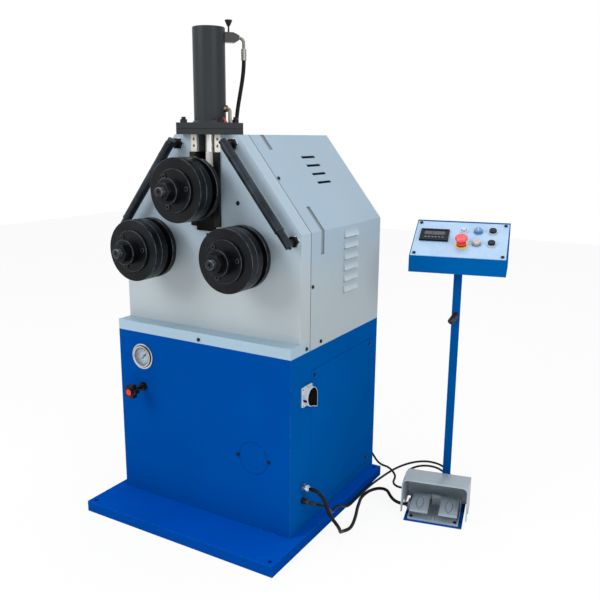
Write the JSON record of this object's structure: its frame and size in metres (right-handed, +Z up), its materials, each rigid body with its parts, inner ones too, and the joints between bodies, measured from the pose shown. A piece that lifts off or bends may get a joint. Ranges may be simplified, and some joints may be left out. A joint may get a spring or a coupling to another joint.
{
  "type": "angle roll bender",
  "caption": "Hydraulic angle roll bender: grooved steel rolls on a tall painted machine frame, a press cylinder on top, and a console with a foot switch on a separate stand.",
  "frame": {"origin": "centre of the base plate's footprint, on the floor", "axes": "+X to the right seen from the front, +Y to the rear, +Z up; the rolls face -Y"},
  "size_m": [1.1511, 0.9491, 1.546],
  "materials": {
    "blue_paint": "satin",
    "grey_paint": "satin",
    "slate_paint": "satin",
    "black_steel": "oiled black",
    "steel": "machined",
    "chrome": "polished",
    "bronze": "machined",
    "black_plastic": "matt",
    "grey_plastic": "matt",
    "red_plastic": "gloss",
    "panel_paint": "satin",
    "pedal_paint": "satin",
    "clear": "clear",
    "rubber": "matt"
  },
  "bodies": {
    "machine": {"base_plate": "blue_paint", "cabinet": "blue_paint", "side_panel": "blue_paint", "inspection_cover": "blue_paint", "fasteners": "black_steel", "bed_plate": "grey_paint", "front_plate": "grey_paint", "rear_plate": "grey_paint", "tie_bars": "steel", "housing_cover": "grey_paint", "guide_strips": "steel", "shaft_bushes": "bronze", "guide_bars": "slate_paint", "guide_bar_pegs": "black_steel", "cylinder_barrel": "slate_paint", "mount_flange": "slate_paint", "hose_fittings": "steel", "hydraulic_hose": "rubber", "gear_motor": "slate_paint", "hydraulic_unit": "slate_paint", "gauge_case": "chrome", "gauge_lens": "clear", "relief_valve": "black_steel", "power_inlet": "grey_plastic", "cable_glands": "black_plastic", "pedestal_plate": "blue_paint", "post": "blue_paint", "post_grip": "black_plastic", "console_box": "blue_paint", "console_panel": "panel_paint", "display": "black_plastic", "panel_fittings": "grey_plastic", "footswitch_base": "pedal_paint", "footswitch_hood": "pedal_paint", "pedal_pin": "steel", "conduit": "rubber", "console_cable": "rubber", "rear_cable": "rubber"},
    "carriage": {"carriage": "black_steel", "piston_rod": "chrome"},
    "upper_roll": {"upper_shaft": "black_steel", "upper_rolls": "black_steel"},
    "left_roll": {"left_shaft": "black_steel", "left_rolls": "black_steel", "left_gear": "steel"},
    "right_roll": {"right_shaft": "black_steel", "right_rolls": "black_steel", "right_gear": "steel"},
    "pinion": {"drive_pinion": "steel"},
    "needle": {"gauge_needle": "black_plastic"},
    "relief_knob": {"relief_knob": "black_plastic"},
    "bleed_knob": {"bleed_knob": "black_plastic"},
    "estop_plunger": {"estop_plunger": "black_plastic"},
    "estop_head": {"estop_head": "red_plastic"},
    "start_button": {"start_button": "grey_plastic"},
    "stop_button": {"stop_button": "grey_plastic"},
    "up_button": {"up_button": "black_plastic"},
    "down_button": {"down_button": "black_plastic"},
    "left_pedal": {"left_pedal": "pedal_paint"},
    "right_pedal": {"right_pedal": "pedal_paint"}
  },
  "joints": [
    {"name": "press_slide", "type": "slide", "parent": "machine", "child": "carriage", "axis": [0, 0, 1], "range_m": [-0.085, 0.045]},
    {"name": "upper_roll_spin", "type": "hinge", "parent": "carriage", "child": "upper_roll", "pos_m": [0, -0.168, 1.068], "axis": [0, 1, 0], "continuous": true},
    {"name": "left_roll_spin", "type": "hinge", "parent": "machine", "child": "left_roll", "pos_m": [-0.17, -0.168, 0.882], "axis": [0, 1, 0], "continuous": true},
    {"name": "right_roll_spin", "type": "hinge", "parent": "machine", "child": "right_roll", "pos_m": [0.17, -0.168, 0.882], "axis": [0, 1, 0], "continuous": true},
    {"name": "pinion_spin", "type": "hinge", "parent": "machine", "child": "pinion", "pos_m": [0, -0.168, 0.80653], "axis": [0, 1, 0], "continuous": true},
    {"name": "gauge_needle_turn", "type": "hinge", "parent": "machine", "child": "needle", "pos_m": [-0.23, -0.222, 0.519], "axis": [0, 1, 0], "range_deg": [0, 270], "stiffness_Nm_per_rad": 0.002, "springref_deg": -11.46},
    {"name": "relief_knob_turn", "type": "hinge", "parent": "machine", "child": "relief_knob", "pos_m": [-0.232, -0.222, 0.416], "axis": [0, 1, 0], "range_deg": [-720, 720]},
    {"name": "bleed_knob_turn", "type": "hinge", "parent": "machine", "child": "bleed_knob", "pos_m": [0.04101, -0.10199, 1.511], "axis": [0, 0, 1], "range_deg": [0, 720]},
    {"name": "estop_push", "type": "slide", "parent": "machine", "child": "estop_plunger", "axis": [-0.1045, 0.4528, -0.8854], "range_m": [0, 0.004]},
    {"name": "estop_twist", "type": "hinge", "parent": "estop_plunger", "child": "estop_head", "pos_m": [0.63689, 0.30838, 0.90331], "axis": [-0.1045, 0.4528, -0.8854], "range_deg": [0, 45], "stiffness_Nm_per_rad": 0.05},
    {"name": "start_button_push", "type": "slide", "parent": "machine", "child": "start_button", "axis": [-0.1045, 0.4528, -0.8854], "range_m": [0, 0.004], "stiffness_N_per_m": 400, "springref_m": -0.002},
    {"name": "stop_button_push", "type": "slide", "parent": "machine", "child": "stop_button", "axis": [-0.1045, 0.4528, -0.8854], "range_m": [0, 0.004], "stiffness_N_per_m": 400, "springref_m": -0.002},
    {"name": "up_button_push", "type": "slide", "parent": "machine", "child": "up_button", "axis": [-0.1045, 0.4528, -0.8854], "range_m": [0, 0.004], "stiffness_N_per_m": 400, "springref_m": -0.002},
    {"name": "down_button_push", "type": "slide", "parent": "machine", "child": "down_button", "axis": [-0.1045, 0.4528, -0.8854], "range_m": [0, 0.004], "stiffness_N_per_m": 400, "springref_m": -0.002},
    {"name": "left_pedal_press", "type": "hinge", "parent": "machine", "child": "left_pedal", "pos_m": [0.57676, 0.2443, 0.036], "axis": [0.9744, 0.225, 0], "range_deg": [0, 6], "stiffness_Nm_per_rad": 6, "springref_deg": -8.59},
    {"name": "right_pedal_press", "type": "hinge", "parent": "machine", "child": "right_pedal", "pos_m": [0.66835, 0.26545, 0.036], "axis": [0.9744, 0.225, 0], "range_deg": [0, 6], "stiffness_Nm_per_rad": 6, "springref_deg": -8.59}
  ],
  "couplings": [
    {"joint": "right_roll_spin", "follows": "left_roll_spin", "ratio": 1},
    {"joint": "pinion_spin", "follows": "left_roll_spin", "ratio": -2.4444}
  ]
}
